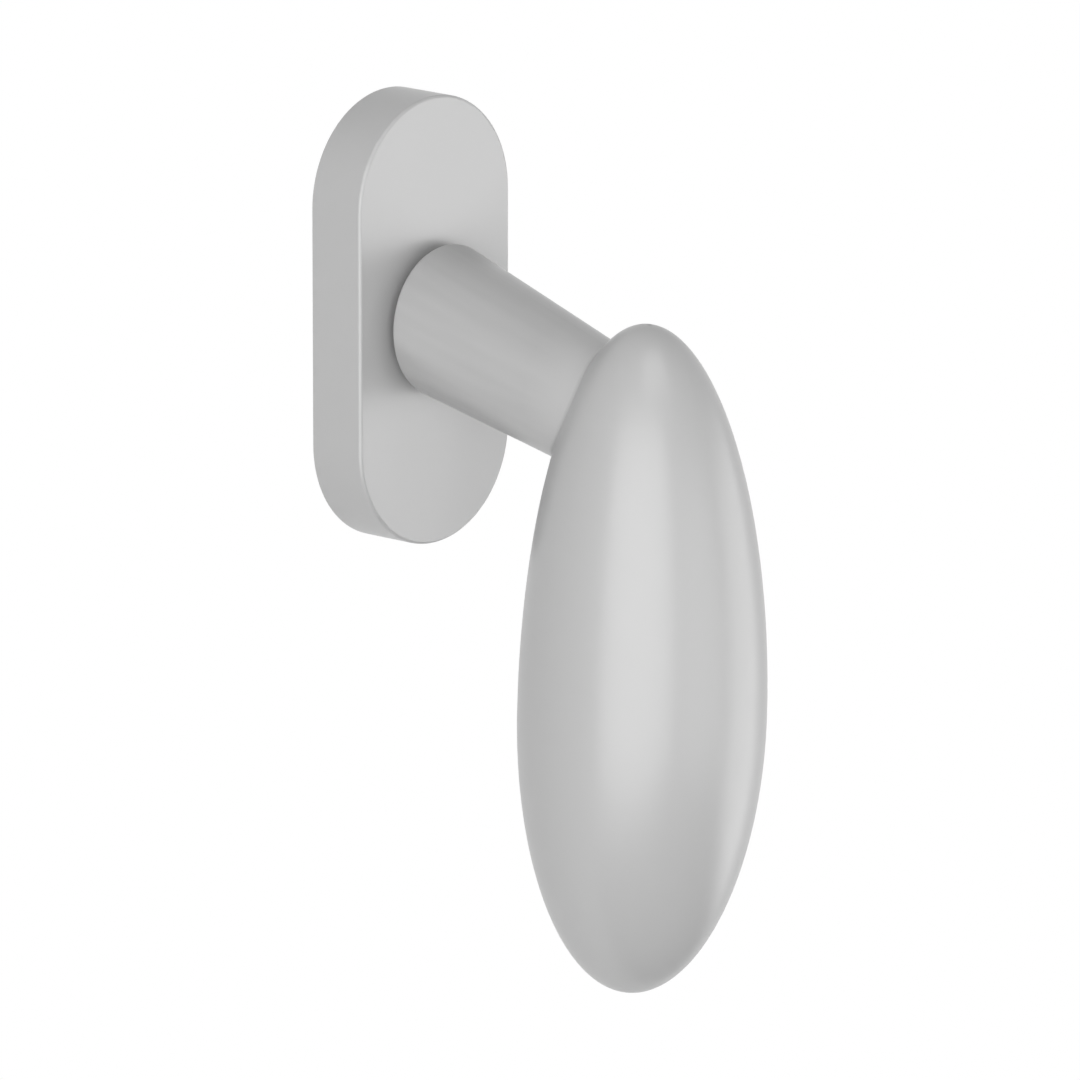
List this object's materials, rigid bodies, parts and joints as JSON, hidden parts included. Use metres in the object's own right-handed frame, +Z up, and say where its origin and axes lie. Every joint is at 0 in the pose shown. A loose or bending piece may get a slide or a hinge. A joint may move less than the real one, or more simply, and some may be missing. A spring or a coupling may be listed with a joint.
{
  "type": "window handle",
  "caption": "Window handle with an egg-shaped grip on a sloping conical neck, an oblong cover that lifts off its base, a quarter-turn ball detent and a square spindle.",
  "frame": {"origin": "where the spindle's axis meets the face of the window frame, midway between the two fixing screws", "axes": "+Z up with the grip hanging down, -Y out of the window frame into the room, +X to the right along the frame seen from the room"},
  "size_m": [0.0364, 0.1126, 0.1281],
  "materials": {
    "satin_grey_metal": "satin",
    "die_cast_metal": "matte",
    "zinc_plated_steel": "satin",
    "spring_steel": "satin",
    "polished_steel": "polished",
    "black_nylon": "matte",
    "white_nylon": "matte",
    "black_rubber": "matte"
  },
  "bodies": {
    "rose_base": {"base_plate": "die_cast_metal", "back_plate": "zinc_plated_steel", "neck_bush": "black_nylon", "spring_washer": "spring_steel", "cover_grip_ring": "black_rubber", "fixing_screw_upper": "zinc_plated_steel", "fixing_screw_lower": "zinc_plated_steel", "plate_rivet_upper_left": "zinc_plated_steel", "plate_rivet_upper_right": "zinc_plated_steel", "plate_rivet_lower_left": "zinc_plated_steel", "plate_rivet_lower_right": "zinc_plated_steel"},
    "turning_handle": {"handle": "satin_grey_metal", "spindle": "zinc_plated_steel", "spindle_pin": "spring_steel", "detent_rotor": "white_nylon", "retaining_ring": "spring_steel", "detent_spring_1": "spring_steel", "detent_spring_2": "spring_steel", "detent_spring_3": "spring_steel", "detent_spring_4": "spring_steel"},
    "cover": {"rose_cover": "satin_grey_metal"},
    "ball_1": {"detent_ball_1": "polished_steel"},
    "ball_2": {"detent_ball_2": "polished_steel"},
    "ball_3": {"detent_ball_3": "polished_steel"},
    "ball_4": {"detent_ball_4": "polished_steel"}
  },
  "joints": [
    {"name": "handle_turn", "type": "hinge", "parent": "rose_base", "child": "turning_handle", "pos_m": [0, 0, 0], "axis": [0, -1, 0], "range_deg": [-180, 180]},
    {"name": "cover_lift", "type": "slide", "parent": "rose_base", "child": "cover", "axis": [0, -1, 0], "range_m": [0, 0.00195]},
    {"name": "detent_ball_1_drop", "type": "slide", "parent": "turning_handle", "child": "ball_1", "axis": [0, 1, 0], "range_m": [0, 0.00045]},
    {"name": "detent_ball_2_drop", "type": "slide", "parent": "turning_handle", "child": "ball_2", "axis": [0, 1, 0], "range_m": [0, 0.00045]},
    {"name": "detent_ball_3_drop", "type": "slide", "parent": "turning_handle", "child": "ball_3", "axis": [0, 1, 0], "range_m": [0, 0.00045]},
    {"name": "detent_ball_4_drop", "type": "slide", "parent": "turning_handle", "child": "ball_4", "axis": [0, 1, 0], "range_m": [0, 0.00045]}
  ]
}
